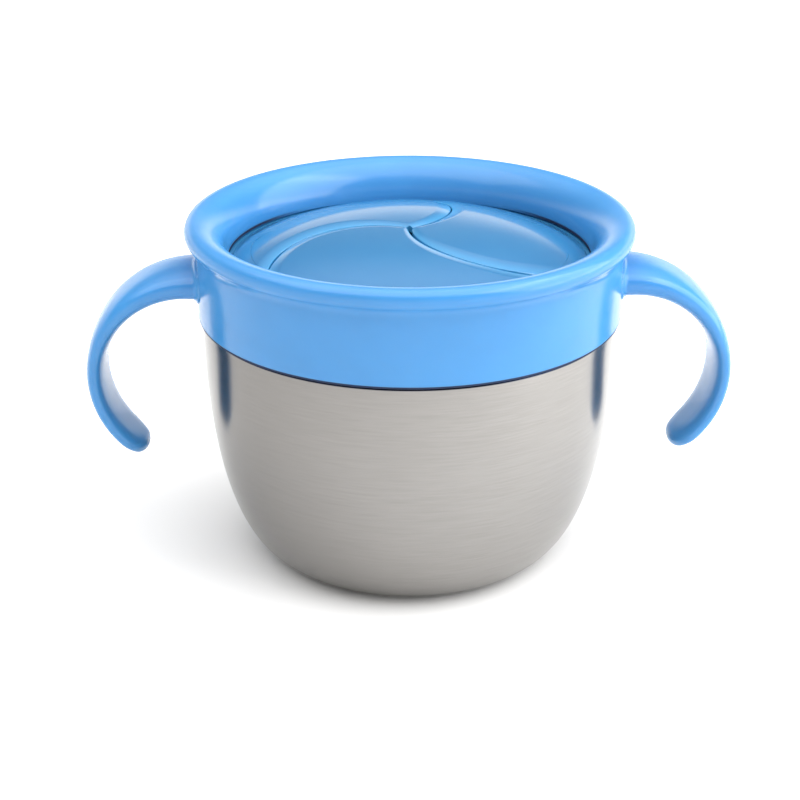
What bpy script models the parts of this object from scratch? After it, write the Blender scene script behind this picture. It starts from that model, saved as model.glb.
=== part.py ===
"""Toddler snack container: a steel bowl, a two-handled lid collar and a three-flap access disc.

Run with Blender 4.5: blender --background --python part.py
Units are metres, +Z is up, and the origin is the centre of the bowl's base on the table.
The handles lie along X, and the front of the container faces -Y.
"""
import math

import bmesh
import bpy

MM = 0.001

# Overall sizes.
overall_height = 75.0 * MM
lip_diameter = 94.4 * MM
handle_span = 139.0 * MM
fit_gap = 0.3 * MM

# Bowl, deep drawn from one steel sheet.
steel_thickness = 0.7 * MM
bowl_base_diameter = 53.6 * MM
bowl_roundness = 2.26
bowl_inset_under_skirt = 0.9 * MM
bowl_shoulder_drop = 1.3 * MM
bowl_shoulder_radius = 1.0 * MM
neck_foot_radius = 0.9 * MM
rim_bead_radius = 0.9 * MM
rim_bead_clearance = 0.4 * MM
base_ring_width = 6.8 * MM
base_recess_depth = 0.6 * MM
base_recess_slope = 1.6 * MM

# Lid collar: skirt, rolled lip, funnel, and the plug that enters the bowl's neck.
collar_height = 20.3 * MM
lip_overhang = 2.2 * MM
skirt_wall = 2.0 * MM
skirt_edge_round = 0.35 * MM
lip_tube_radius = 2.1 * MM
lip_under_fillet = 3.0 * MM
funnel_foot_depth = 8.3 * MM
funnel_foot_land = 0.4 * MM
channel_depth = 6.7 * MM
channel_rise = 3.4 * MM
plug_depth = 8.5 * MM
plug_clearance = 0.6 * MM
plug_wall = 2.0 * MM
plug_lead_in = 0.6 * MM
disc_seat_width = 2.15 * MM
disc_seat_depth = 10.2 * MM
disc_seat_thickness = 1.4 * MM
snap_groove_back = 1.3 * MM
snap_groove_depth = 0.55 * MM
snap_groove_height = 1.4 * MM

# Seal ring, which grips the inside of the steel neck.
seal_groove_depth = 1.0 * MM
seal_groove_height = 2.5 * MM
seal_groove_drop = 4.8 * MM
seal_round_share = 0.45

# Access disc: a springy ring with flaps parted by a pinwheel of slits.
disc_moat = 0.75 * MM
disc_edge_depth = 9.0 * MM
dome_rise = 6.5 * MM
dome_fullness = 2.87
disc_thickness = 1.4 * MM
ring_width = 4.1 * MM
ring_edge_round = 0.5 * MM
ring_foot_width = 1.6 * MM
hinge_inset = 4.6 * MM
hinge_lean = 6.5
seam_overreach = 6.5 * MM
slit_width = 0.7 * MM
flap_tip_radius = 1.3 * MM
flap_border_width = 3.2 * MM
flap_border_drop = 0.8 * MM
flap_border_shares = (0.0, 0.3, 0.65, 1.0)
flap_names = ("flap_front", "flap_right", "flap_left")
flap_count = len(flap_names)
front_flap_angle = -98.5

# Handles: open hooks that leave the skirt level, turn down and curl back in.
handle_root_lift = 7.0 * MM
handle_root_fillet = 1.0 * MM
handle_root_run = 0.2 * MM
handle_turn_drop = 20.9 * MM
handle_tail_radius = 21.8 * MM
handle_tail_sweep = 57.0
handle_root_width = 18.2 * MM
handle_grip_width = 16.7 * MM
handle_tip_width = 13.0 * MM
handle_root_thickness = 6.6 * MM
handle_grip_thickness = 4.0 * MM
handle_tip_thickness = 3.8 * MM
handle_grip_share = 0.5
handle_tip_round = 5.9 * MM
handle_tip_shares = (0.0, 0.3, 0.6, 0.82, 0.95, 0.995)
handle_squareness = 2.7
handle_tenon_depth = 0.8 * MM

# Facets.
lathe_steps = 48
large_arc_step = 18.0
small_arc_step = 30.0
small_radius = 1.5 * MM
bowl_curve_steps = 9
funnel_steps = 8
crown_steps = 4
under_steps = 3
root_steps = 3
turn_steps = 10
tail_steps = 7
handle_sides = 16
flap_rows = 11
flap_fan_columns = 6
mouth_arc_steps = 8

# Cutters run this far past what they cut.
overrun = 3.0 * MM
merge_distance = 0.005 * MM

# Radii and heights that follow from the sizes above.
lip_radius = lip_diameter / 2
skirt_radius = lip_radius - lip_overhang
skirt_inner = skirt_radius - skirt_wall
skirt_bottom_z = overall_height - collar_height
lip_centre_radius = lip_radius - lip_tube_radius
lip_centre_z = overall_height - lip_tube_radius

bead_outer = skirt_inner - rim_bead_clearance
neck_inner = bead_outer - 2 * rim_bead_radius
neck_outer = neck_inner + steel_thickness
body_top_radius = skirt_radius - bowl_inset_under_skirt
body_top_z = skirt_bottom_z - bowl_shoulder_drop

plug_outer = neck_inner - plug_clearance
plug_inner = plug_outer - plug_wall
channel_inner_z = overall_height - channel_depth
channel_outer_z = channel_inner_z + channel_rise
plug_bottom_z = channel_inner_z - plug_depth
groove_top_z = channel_inner_z - seal_groove_drop
groove_floor = plug_outer - seal_groove_depth

snap_groove_radius = plug_outer - snap_groove_back
funnel_foot_radius = snap_groove_radius - snap_groove_depth
funnel_foot_z = overall_height - funnel_foot_depth
disc_seat_z = overall_height - disc_seat_depth
disc_seat_inner = funnel_foot_radius - disc_seat_width

disc_radius = funnel_foot_radius - disc_moat
disc_edge_z = overall_height - disc_edge_depth
mouth_radius = disc_radius - ring_width
flap_radius = mouth_radius - fit_gap
hinge_distance = mouth_radius - hinge_inset
seam_circle = mouth_radius + seam_overreach

handle_root_z = skirt_bottom_z + handle_root_lift
handle_face_radius = skirt_radius + fit_gap
handle_turn_x = handle_face_radius + handle_root_fillet + handle_root_run
handle_turn_z = handle_root_z - handle_turn_drop
handle_reach_x = handle_span / 2 - handle_grip_thickness / 2


def bead_centre():
    """Centre of the bowl's curled rim, which lies a fit gap under the channel's sloping roof."""
    run = skirt_inner - plug_outer
    slope = math.hypot(run, channel_rise)
    radius = neck_inner + rim_bead_radius
    stand_off = rim_bead_radius + fit_gap
    height = channel_inner_z + ((radius - plug_outer) * channel_rise - stand_off * slope) / run
    return (radius, height)


def polar(centre_r, centre_z, radius, angle):
    """Point of a profile at an angle in degrees round a centre."""
    turn = math.radians(angle)
    return (centre_r + radius * math.cos(turn), centre_z + radius * math.sin(turn))


def arc(centre_r, centre_z, radius, start, end):
    """Points of a round corner in a profile, from one angle to another."""
    facet = small_arc_step if radius < small_radius else large_arc_step
    steps = max(2, math.ceil(abs(end - start) / facet))
    return [
        polar(centre_r, centre_z, radius, start + (end - start) * step / steps)
        for step in range(steps + 1)
    ]


def material(name, colour, roughness, metallic=0.0, transmission=0.0):
    """A plain finish for one kind of piece."""
    finish = bpy.data.materials.new(name)
    finish.use_nodes = True
    shader = finish.node_tree.nodes["Principled BSDF"]
    shader.inputs["Base Color"].default_value = (*colour, 1.0)
    shader.inputs["Roughness"].default_value = roughness
    shader.inputs["Metallic"].default_value = metallic
    shader.inputs["Transmission Weight"].default_value = transmission
    return finish


def add_object(name, mesh, finish, parent=None):
    """Put a mesh in the scene as a named object with its finish."""
    piece = bpy.data.objects.new(name, mesh)
    bpy.context.collection.objects.link(piece)
    if not mesh.materials:
        mesh.materials.append(finish)
    piece.parent = parent
    return piece


def mesh_from(name, bm, smooth_angle=35.0):
    """Turn a bmesh into a mesh whose faces point out and whose round parts are smooth."""
    bmesh.ops.recalc_face_normals(bm, faces=bm.faces)
    mesh = bpy.data.meshes.new(name)
    bm.to_mesh(mesh)
    bm.free()
    mesh.shade_smooth()
    mesh.set_sharp_from_angle(angle=math.radians(smooth_angle))
    return mesh


def turned(name, profile, finish, parent=None):
    """Turn a closed profile of (radius, height) points round the Z axis."""
    bm = bmesh.new()
    verts = [bm.verts.new((radius, 0, height)) for radius, height in profile]
    for index, vert in enumerate(verts):
        following = verts[(index + 1) % len(verts)]
        on_axis = vert.co.x == 0 and following.co.x == 0
        if not on_axis:
            bm.edges.new((vert, following))
    mesh = bpy.data.meshes.new(name)
    bm.to_mesh(mesh)
    bm.free()
    piece = add_object(name, mesh, finish, parent)
    screw = piece.modifiers.new("turn", "SCREW")
    screw.axis = "Z"
    screw.angle = math.radians(360)
    screw.steps = lathe_steps
    screw.render_steps = lathe_steps
    screw.use_merge_vertices = True
    screw.merge_threshold = merge_distance
    screw.use_smooth_shade = True
    return piece


def loft(bm, rings):
    """Skin a row of closed rings with the same number of points, and cap both ends."""
    loops = [[bm.verts.new(point) for point in ring] for ring in rings]
    for near, far in zip(loops, loops[1:]):
        for index in range(len(near)):
            following = (index + 1) % len(near)
            bm.faces.new((near[index], near[following], far[following], far[index]))
    bm.faces.new(list(reversed(loops[0])))
    bm.faces.new(loops[-1])


def cut(target, cutter):
    """Cut one piece with another that isn't part of the model."""
    cutter.hide_render = True
    cutter.display_type = "WIRE"
    boolean = target.modifiers.new("cut_" + cutter.name, "BOOLEAN")
    boolean.operation = "DIFFERENCE"
    boolean.object = cutter


# Steel bowl.

def bowl_wall(top_radius, foot_radius, top_z, foot_z):
    """Points down the bowl's wall, a quarter of a rounded-square curve, below its top."""
    power = 2 / bowl_roundness
    points = []
    for step in range(1, bowl_curve_steps):
        turn = math.pi / 2 * step / bowl_curve_steps
        across = (top_radius - foot_radius) * math.cos(turn) ** power
        down = (top_z - foot_z) * math.sin(turn) ** power
        points.append((foot_radius + across, top_z - down))
    points.append((foot_radius, foot_z))
    return points


def bowl_outside():
    """Outside of the bowl from the rim bead's top down to the middle of the base."""
    bead = bead_centre()
    neck_meets_bead = math.degrees(math.acos((bead[0] - neck_outer) / rim_bead_radius))
    neck_foot = (neck_outer + neck_foot_radius, body_top_z + bowl_shoulder_radius + neck_foot_radius)
    shoulder = (body_top_radius - bowl_shoulder_radius, body_top_z)
    points = arc(*bead, rim_bead_radius, 90, neck_meets_bead - 180)
    points += arc(*neck_foot, neck_foot_radius, 180, 270)
    points += arc(*shoulder, bowl_shoulder_radius, 90, 0)
    points += bowl_wall(body_top_radius, bowl_base_diameter / 2, body_top_z, 0)
    recess_radius = bowl_base_diameter / 2 - base_ring_width
    points.append((recess_radius, 0))
    points.append((recess_radius - base_recess_slope, base_recess_depth))
    points.append((0, base_recess_depth))
    return points


def bowl_inside():
    """Inside of the bowl from the middle of the floor up to the rim bead's top."""
    wall_radius = body_top_radius - steel_thickness
    floor_z = base_recess_depth + steel_thickness
    inner_round = bowl_shoulder_radius - steel_thickness
    outer_round = neck_foot_radius + steel_thickness
    shoulder = (wall_radius - inner_round, body_top_z)
    neck_foot = (neck_inner + outer_round, body_top_z + inner_round + outer_round)
    points = [(0, floor_z)]
    points += reversed(bowl_wall(wall_radius, bowl_base_diameter / 2, body_top_z, floor_z))
    points += arc(*shoulder, inner_round, 0, 90)
    points += arc(*neck_foot, outer_round, 270, 180)
    points += arc(*bead_centre(), rim_bead_radius, 180, 90)[:-1]
    return points


def build_bowl(finish):
    """Deep-drawn bowl with a necked-in mouth, a curled rim and a pressed-in base."""
    return turned("steel_bowl", bowl_outside() + bowl_inside(), finish)


# Lid collar.

def lip_and_skirt():
    """Outside of the collar, from the lip's crest down to the skirt's inner bottom corner."""
    fillet_run = skirt_radius + lip_under_fillet - lip_centre_radius
    fillet_reach = lip_under_fillet + lip_tube_radius
    fillet_drop = math.sqrt(fillet_reach ** 2 - fillet_run ** 2)
    tangent = math.degrees(math.atan2(-fillet_drop, fillet_run))
    fillet_centre = (skirt_radius + lip_under_fillet, lip_centre_z - fillet_drop)
    edge = skirt_edge_round
    points = arc(lip_centre_radius, lip_centre_z, lip_tube_radius, 90, tangent)
    points += arc(*fillet_centre, lip_under_fillet, 180 + tangent, 180)[1:]
    points += arc(skirt_radius - edge, skirt_bottom_z + edge, edge, 0, -90)
    points += arc(skirt_inner + edge, skirt_bottom_z + edge, edge, -90, -180)
    return points


def channel_and_plug():
    """Channel that takes the bowl's rim, then the plug with its seal groove."""
    groove_bottom_z = groove_top_z - seal_groove_height
    return [
        (skirt_inner, channel_outer_z),
        (plug_outer, channel_inner_z),
        (plug_outer, groove_top_z),
        (groove_floor, groove_top_z),
        (groove_floor, groove_bottom_z),
        (plug_outer, groove_bottom_z),
        (plug_outer, plug_bottom_z + plug_lead_in),
        (plug_outer - plug_lead_in, plug_bottom_z),
        (plug_inner, plug_bottom_z),
    ]


def disc_seat():
    """Shelf that carries the access disc, and the groove that its bead snaps into."""
    return [
        (plug_inner, disc_seat_z - disc_seat_thickness),
        (disc_seat_inner, disc_seat_z - disc_seat_thickness),
        (disc_seat_inner, disc_seat_z),
        (snap_groove_radius, disc_seat_z),
        (snap_groove_radius, disc_seat_z + snap_groove_height),
        (funnel_foot_radius, funnel_foot_z - funnel_foot_land),
    ]


def funnel():
    """Funnel from its foot up to the lip's crest: a quarter of an ellipse, upright at its foot."""
    run = lip_centre_radius - funnel_foot_radius
    points = []
    for step in range(funnel_steps):
        turn = math.pi / 2 * step / funnel_steps
        points.append((
            lip_centre_radius - run * math.cos(turn),
            funnel_foot_z + funnel_foot_depth * math.sin(turn),
        ))
    return points


def build_collar(finish, parent):
    """Collar moulding, with a socket in each side of the skirt for a handle's tenon."""
    profile = lip_and_skirt() + channel_and_plug() + disc_seat() + funnel()
    collar = turned("lid_collar", profile, finish, parent)
    section = handle_section(handle_root_width + 2 * fit_gap, handle_root_thickness + 2 * fit_gap)
    floor_x = skirt_radius - handle_tenon_depth - fit_gap
    mouth_x = skirt_radius + overrun
    for side, name in ((-1, "socket_left"), (1, "socket_right")):
        bm = bmesh.new()
        loft(bm, [
            [(side * along, across, handle_root_z + up) for across, up in section]
            for along in (floor_x, mouth_x)
        ])
        cut(collar, add_object(name, mesh_from(name, bm), finish, parent))
    return collar


# Handles.

def handle_section(width, thickness):
    """Points round a handle's section, a soft-cornered band: (across, up)."""
    power = 2 / handle_squareness
    ring = []
    for index in range(handle_sides):
        turn = 2 * math.pi * index / handle_sides
        across = math.copysign(abs(math.cos(turn)) ** power, math.cos(turn))
        up = math.copysign(abs(math.sin(turn)) ** power, math.sin(turn))
        ring.append((across * width / 2, up * thickness / 2))
    return ring


def handle_path():
    """Stations past a handle's root, (x, z, heading x, heading z), and how far each is from the end.

    The turn is a quarter of an ellipse, and the tail is a round arc.
    """
    turn_reach = handle_reach_x - handle_turn_x
    sweep = math.radians(handle_tail_sweep)
    stations = []
    for step in range(turn_steps + 1):
        angle = math.pi / 2 * (1 - step / turn_steps)
        run_x = turn_reach * math.sin(angle)
        run_z = -handle_turn_drop * math.cos(angle)
        run = math.hypot(run_x, run_z)
        x = handle_turn_x + turn_reach * math.cos(angle)
        z = handle_turn_z + handle_turn_drop * math.sin(angle)
        stations.append((x, z, run_x / run, run_z / run))
    tip_start = sweep - handle_tip_round / handle_tail_radius
    angles = [tip_start * step / tail_steps for step in range(1, tail_steps)]
    angles += [tip_start + (sweep - tip_start) * share for share in handle_tip_shares]
    tail_x = handle_reach_x - handle_tail_radius
    for angle in angles:
        x = tail_x + handle_tail_radius * math.cos(angle)
        z = handle_turn_z - handle_tail_radius * math.sin(angle)
        stations.append((x, z, -math.sin(angle), -math.cos(angle)))
    lengths = [(sweep - angles[-1]) * handle_tail_radius]
    for near, far in zip(reversed(stations[:-1]), reversed(stations)):
        lengths.append(lengths[-1] + math.dist(near[:2], far[:2]))
    return stations, list(reversed(lengths))


def along_handle(root, grip, tip, share):
    """A size that changes evenly from root to grip to tip along a handle."""
    if share < handle_grip_share:
        return root + (grip - root) * share / handle_grip_share
    return grip + (tip - grip) * (share - handle_grip_share) / (1 - handle_grip_share)


def round_end(left, radius):
    """Share of the full size left near a round end: a quarter circle."""
    return math.sqrt(1 - (1 - min(left / radius, 1.0)) ** 2)


def root_rings(side):
    """Rings at a handle's root: the tenon, then a fillet that follows the round skirt."""
    tenon = handle_section(handle_root_width, handle_root_thickness)
    end_x = skirt_radius - handle_tenon_depth
    rings = [[(side * end_x, across, handle_root_z + up) for across, up in tenon]]
    sizes = [(handle_face_radius, 0)]
    for step in range(root_steps + 1):
        turn = math.pi / 2 * step / root_steps
        stand_off = handle_root_fillet * (1 - math.cos(turn))
        sizes.append((handle_face_radius + stand_off, handle_root_fillet * (1 - math.sin(turn))))
    for radius, flare in sizes:
        section = handle_section(handle_root_width + 2 * flare, handle_root_thickness + 2 * flare)
        rings.append([
            (side * math.sqrt(radius ** 2 - across ** 2), across, handle_root_z + up)
            for across, up in section
        ])
    return rings


def handle_rings(side):
    """Rings of points along one handle, drawn in to a round tongue at its free end."""
    stations, lengths = handle_path()
    rings = root_rings(side)
    for (x, z, run_x, run_z), left in zip(stations, lengths):
        share = 1 - left / lengths[0]
        width = along_handle(handle_root_width, handle_grip_width, handle_tip_width, share)
        thickness = along_handle(handle_root_thickness, handle_grip_thickness, handle_tip_thickness, share)
        width *= round_end(left, handle_tip_round)
        thickness *= round_end(left, handle_tip_thickness / 2)
        section = handle_section(width, thickness)
        rings.append([(side * (x - run_z * up), across, z + run_x * up) for across, up in section])
    return rings


def build_handles(finish, parent):
    """The left and right handles, each with its tenon in the collar's socket."""
    for side, name in ((-1, "handle_left"), (1, "handle_right")):
        bm = bmesh.new()
        loft(bm, handle_rings(side))
        add_object(name, mesh_from(name, bm), finish, parent)


# Seal ring.

def build_seal(finish, parent):
    """Soft ring in the plug's groove, with a rounded face towards the steel neck."""
    inner = groove_floor + fit_gap
    outer = neck_inner - fit_gap
    top_z = groove_top_z - fit_gap
    bottom_z = groove_top_z - seal_groove_height + fit_gap
    corner = (outer - inner) * seal_round_share
    points = [(inner, top_z)]
    points += arc(outer - corner, top_z - corner, corner, 90, 0)
    points += arc(outer - corner, bottom_z + corner, corner, 0, -90)
    points.append((inner, bottom_z))
    return turned("seal_ring", points, finish, parent)


# Access disc.

def dome_height(radius):
    """Height of the disc's top face at a radius."""
    return disc_edge_z + dome_rise * (1 - (radius / disc_radius) ** dome_fullness)


def flap_direction(index):
    """Angle in degrees from the middle of the disc towards the middle of a flap's hinge."""
    return front_flap_angle + 360.0 / flap_count * index


def carrier_profile():
    """Section of the disc's ring: domed top, snap bead, flat foot and hollow underside."""
    inner = hinge_distance - hinge_inset / 2
    crown_end = disc_radius - ring_edge_round
    foot_z = disc_seat_z + fit_gap
    foot_inner = disc_radius - ring_foot_width
    bead = snap_groove_radius - fit_gap
    bead_top_z = disc_seat_z + snap_groove_height - fit_gap
    points = []
    for step in range(crown_steps + 1):
        radius = inner + (crown_end - inner) * step / crown_steps
        points.append((radius, dome_height(radius)))
    points.append((disc_radius, disc_edge_z))
    points.append((bead, bead_top_z))
    points.append((bead, foot_z))
    points.append((foot_inner, foot_z))
    rise_radius = foot_inner - disc_thickness / 2
    for step in range(under_steps + 1):
        radius = rise_radius + (inner - rise_radius) * step / under_steps
        points.append((radius, dome_height(radius) - disc_thickness))
    return points


def mouth_outline():
    """Outline of the disc's mouth: a circle with a straight hinge land for each flap."""
    half_land = math.degrees(math.acos(hinge_distance / mouth_radius))
    outline = []
    for index in range(flap_count):
        start = flap_direction(index) + half_land
        end = flap_direction(index + 1) - half_land
        for step in range(mouth_arc_steps + 1):
            angle = start + (end - start) * step / mouth_arc_steps
            outline.append(polar(0, 0, mouth_radius, angle))
    return outline


def build_carrier(finish, parent):
    """Springy ring whose outer bead snaps in under the funnel, with its mouth cut through."""
    carrier = turned("flap_carrier", carrier_profile(), finish, parent)
    low = disc_seat_z - overrun
    high = overall_height + overrun
    bm = bmesh.new()
    loft(bm, [[(x, y, height) for x, y in mouth_outline()] for height in (low, high)])
    cut(carrier, add_object("flap_mouth", mesh_from("flap_mouth", bm), finish, parent))
    return carrier


def flap_columns(radius):
    """Angles across a flap at one radius, with each one's distance from the nearer slit.

    Every slit is part of a circle through the disc's middle, so its angle grows with the
    radius as an arc sine, and the flap's columns lean with it.
    """
    pitch = math.asin(radius / seam_circle)
    lean = pitch - math.asin(mouth_radius / seam_circle) + math.radians(hinge_lean)
    across = radius * math.cos(pitch)
    half_span = math.pi / flap_count - slit_width / 2 / across
    border = min(flap_border_width / across, half_span / 2)
    columns = [(half_span - border * share, border * share * across) for share in flap_border_shares]
    inside = half_span - border
    fan = [inside * (1 - 2 * step / flap_fan_columns) for step in range(1, flap_fan_columns)]
    mirrored = [(-angle, gap) for angle, gap in reversed(columns)]
    columns += [(angle, (half_span - abs(angle)) * across) for angle in fan]
    return [(lean + angle, gap) for angle, gap in columns + mirrored]


def flap_mesh(hinge_x, hinge_z):
    """One flap about its hinge: domed, with borders that roll down to the slits."""
    bm = bmesh.new()
    rings = []
    for row in range(flap_rows + 1):
        radius = flap_tip_radius + (flap_radius - flap_tip_radius) * row / flap_rows
        top = []
        for angle, gap in flap_columns(radius):
            near_slit = max(1 - gap / flap_border_width, 0)
            height = dome_height(radius) - flap_border_drop * near_slit ** 2 - hinge_z
            top.append((radius * math.cos(angle) - hinge_x, radius * math.sin(angle), height))
        bottom = [(x, y, height - disc_thickness) for x, y, height in reversed(top)]
        rings.append(top + bottom)
    loft(bm, rings)
    bmesh.ops.bisect_plane(
        bm,
        geom=list(bm.verts) + list(bm.edges) + list(bm.faces),
        dist=merge_distance,
        plane_co=(0, 0, 0),
        plane_no=(1, 0, 0),
        clear_outer=True,
    )
    open_edges = [edge for edge in bm.edges if edge.is_boundary]
    bmesh.ops.holes_fill(bm, edges=open_edges, sides=0)
    for face in [face for face in bm.faces if len(face.verts) > 4]:
        bmesh.ops.triangulate(bm, faces=[face])
    return mesh_from("flap", bm)


def build_flaps(finish, parent):
    """The flaps, each with its origin in the middle of its hinge line."""
    hinge_x = hinge_distance - fit_gap
    hinge_z = dome_height(mouth_radius) - disc_thickness
    mesh = flap_mesh(hinge_x, hinge_z)
    for index, name in enumerate(flap_names):
        direction = math.radians(flap_direction(index))
        flap = add_object(name, mesh, finish, parent)
        flap.location = (hinge_x * math.cos(direction), hinge_x * math.sin(direction), hinge_z)
        flap.rotation_euler = (0, 0, direction)


def main():
    """Build every piece of the container."""
    for item in list(bpy.data.objects):
        bpy.data.objects.remove(item)
    steel = material("brushed_steel", (0.62, 0.61, 0.60), 0.32, metallic=1.0)
    blue = material("blue_polypropylene", (0.10, 0.33, 0.85), 0.22)
    clear_blue = material("clear_blue_elastomer", (0.12, 0.40, 0.80), 0.12, transmission=0.6)
    silicone = material("silicone", (0.80, 0.84, 0.88), 0.55)
    lid = bpy.data.objects.new("lid", None)
    bpy.context.collection.objects.link(lid)
    build_bowl(steel)
    build_collar(blue, lid)
    build_handles(blue, lid)
    build_seal(silicone, lid)
    build_carrier(clear_blue, lid)
    build_flaps(clear_blue, lid)


main()
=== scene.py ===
"""Looks of a two-handled toddler snack container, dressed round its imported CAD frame.

A brushed steel bowl, a glossy blue collar with two hook handles, a seal ring, and a soft disc
whose three flaps meet in a pinwheel. Lengths are metres, and +Z is up.
"""
import logging
import math
from dataclasses import dataclass, field
from enum import Enum

import bpy
import numpy as np
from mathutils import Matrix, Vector


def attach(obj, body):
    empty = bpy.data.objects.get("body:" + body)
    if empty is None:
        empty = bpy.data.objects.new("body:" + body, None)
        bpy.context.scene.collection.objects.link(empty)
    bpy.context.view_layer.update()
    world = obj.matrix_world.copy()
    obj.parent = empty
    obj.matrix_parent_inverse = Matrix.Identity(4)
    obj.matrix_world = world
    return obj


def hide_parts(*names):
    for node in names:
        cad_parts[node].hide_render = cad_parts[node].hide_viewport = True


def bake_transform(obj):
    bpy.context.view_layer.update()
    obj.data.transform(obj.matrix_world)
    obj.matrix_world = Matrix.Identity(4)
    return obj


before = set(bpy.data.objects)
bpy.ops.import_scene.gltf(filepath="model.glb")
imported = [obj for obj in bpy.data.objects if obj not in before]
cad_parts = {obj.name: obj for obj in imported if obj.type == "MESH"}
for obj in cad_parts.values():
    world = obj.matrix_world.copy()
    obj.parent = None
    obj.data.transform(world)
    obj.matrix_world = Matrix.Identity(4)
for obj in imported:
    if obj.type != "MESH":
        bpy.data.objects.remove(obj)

LOG = logging.getLogger("snack_container")
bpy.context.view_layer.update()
MM = 0.001
Pair = tuple[float, float]
Triple = tuple[float, float, float]
Colour = Triple


class Body(Enum):
    """Bodies of the frame that a piece can ride on."""

    BOWL = "bowl"
    LID = "lid"


class Slot(Enum):
    """Material slots of the record."""

    STEEL = "brushed_steel"
    PLASTIC = "blue_plastic"
    ELASTOMER = "blue_elastomer"
    SILICONE = "silicone"


class Side(Enum):
    """The two handles, by the sign of their X."""

    LEFT = -1
    RIGHT = 1


class Flap(Enum):
    """The disc's three flaps, by their turn round it."""

    FRONT = 0
    RIGHT = 1
    LEFT = 2


# Shader expressions.

class Value:
    """A number socket of a shader that ordinary arithmetic works on."""

    def __init__(self, graph: "Graph", socket: bpy.types.NodeSocket) -> None:
        """Keeps the output socket that carries the number, and the graph it is in."""
        self.graph = graph
        self.socket = socket

    def _math(self, operation: str, first: "Value | float", second: "Value | float") -> "Value":
        """Adds one Math node: its operation on two numbers or Values."""
        node = self.graph.node("ShaderNodeMath", {"operation": operation}, {0: first, 1: second})
        return Value(self.graph, node.outputs[0])

    def __add__(self, other: "Value | float") -> "Value":
        """self + other."""
        return self._math("ADD", self, other)

    def __radd__(self, other: float) -> "Value":
        """other + self."""
        return self._math("ADD", other, self)

    def __sub__(self, other: "Value | float") -> "Value":
        """self - other."""
        return self._math("SUBTRACT", self, other)

    def __rsub__(self, other: float) -> "Value":
        """other - self."""
        return self._math("SUBTRACT", other, self)

    def __mul__(self, other: "Value | float") -> "Value":
        """self * other."""
        return self._math("MULTIPLY", self, other)

    def __rmul__(self, other: float) -> "Value":
        """other * self."""
        return self._math("MULTIPLY", other, self)

    def smooth(self, low: float, high: float) -> "Value":
        """Rises smoothly from 0 at low to 1 at high.

        Args:
            low: where the rise starts.
            high: where it ends.

        Returns:
            The eased Value, from 0 to 1.
        """
        node = self.graph.node(
            "ShaderNodeMapRange",
            {"interpolation_type": "SMOOTHSTEP"},
            {"Value": self, "From Min": low, "From Max": high},
        )
        return Value(self.graph, node.outputs["Result"])


@dataclass(frozen=True)
class Grain:
    """Soft noise: its patches' size in millimetres along each axis, and its finer layers."""

    x: float
    y: float
    z: float
    layers: float


class Graph:
    """The nodes of one material or world, added through one method."""

    # Places of the Mix node's colour sockets, which share their names with its other ones.
    MIX_FIRST, MIX_SECOND, MIX_RESULT = 6, 7, 2

    def __init__(self, owner: bpy.types.ID) -> None:
        """Takes over the nodes of a material or a world."""
        owner.use_nodes = True
        self.tree = owner.node_tree

    def node(
        self, kind: str, settings: dict | None = None, inputs: dict | None = None
    ) -> bpy.types.Node:
        """Adds a node, sets it, then fills its sockets.

        Args:
            kind: the node's type.
            settings: its attributes by name.
            inputs: numbers, tuples, sockets or Values by socket name or place.

        Returns:
            The new node.
        """
        made = self.tree.nodes.new(kind)
        for name, setting in (settings or {}).items():
            setattr(made, name, setting)
        for key, given in (inputs or {}).items():
            self.fill(made.inputs[key], given)
        return made

    def fill(self, socket: bpy.types.NodeSocket, given: object) -> None:
        """Links or sets one socket.

        Args:
            socket: the input to fill.
            given: a number, tuple, socket or Value.
        """
        if isinstance(given, Value):
            given = given.socket
        if isinstance(given, bpy.types.NodeSocket):
            self.tree.links.new(given, socket)
        else:
            socket.default_value = given

    def place(self) -> bpy.types.NodeSocket:
        """The point being shaded, in the object's own metres."""
        return self.node("ShaderNodeTexCoord").outputs["Object"]

    def axis(self, name: str) -> Value:
        """X, Y or Z, by its name, of the point being shaded, in millimetres."""
        split = self.node("ShaderNodeSeparateXYZ", None, {0: self.place()})
        return Value(self, split.outputs[name]) * (1.0 / MM)

    def attribute(self, name: str) -> Value:
        """A number kept on the mesh under a name, at the point being shaded."""
        node = self.node("ShaderNodeAttribute", {"attribute_name": name})
        return Value(self, node.outputs["Fac"])

    def noise(self, grain: Grain) -> Value:
        """Soft noise stretched along the axes.

        Args:
            grain: how coarse and how layered it is.

        Returns:
            Noise about 0.5, from 0 to 1.
        """
        scale = tuple(1.0 / (size * MM) for size in (grain.x, grain.y, grain.z))
        mapped = self.node("ShaderNodeMapping", None, {"Vector": self.place(), "Scale": scale})
        made = self.node(
            "ShaderNodeTexNoise",
            None,
            {"Vector": mapped.outputs[0], "Scale": 1.0, "Detail": grain.layers},
        )
        return Value(self, made.outputs["Fac"])

    def mix(self, share: object, first: object, second: object) -> bpy.types.NodeSocket:
        """Mixes two colours.

        Args:
            share: how much of the second, from 0 to 1.
            first: a colour or colour socket.
            second: a colour or colour socket.

        Returns:
            The mixed colour's socket.
        """
        first, second = (
            (*colour, 1.0) if isinstance(colour, tuple) else colour for colour in (first, second)
        )
        inputs = {0: share, self.MIX_FIRST: first, self.MIX_SECOND: second}
        return self.node("ShaderNodeMix", {"data_type": "RGBA"}, inputs).outputs[self.MIX_RESULT]

    def bump(self, height: Value, depth: float) -> bpy.types.NodeSocket:
        """The normal bent by a height from 0 to 1, where 1 is depth millimetres high."""
        inputs = {"Strength": 1.0, "Distance": depth * MM, "Height": height}
        return self.node("ShaderNodeBump", None, inputs).outputs[0]


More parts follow.
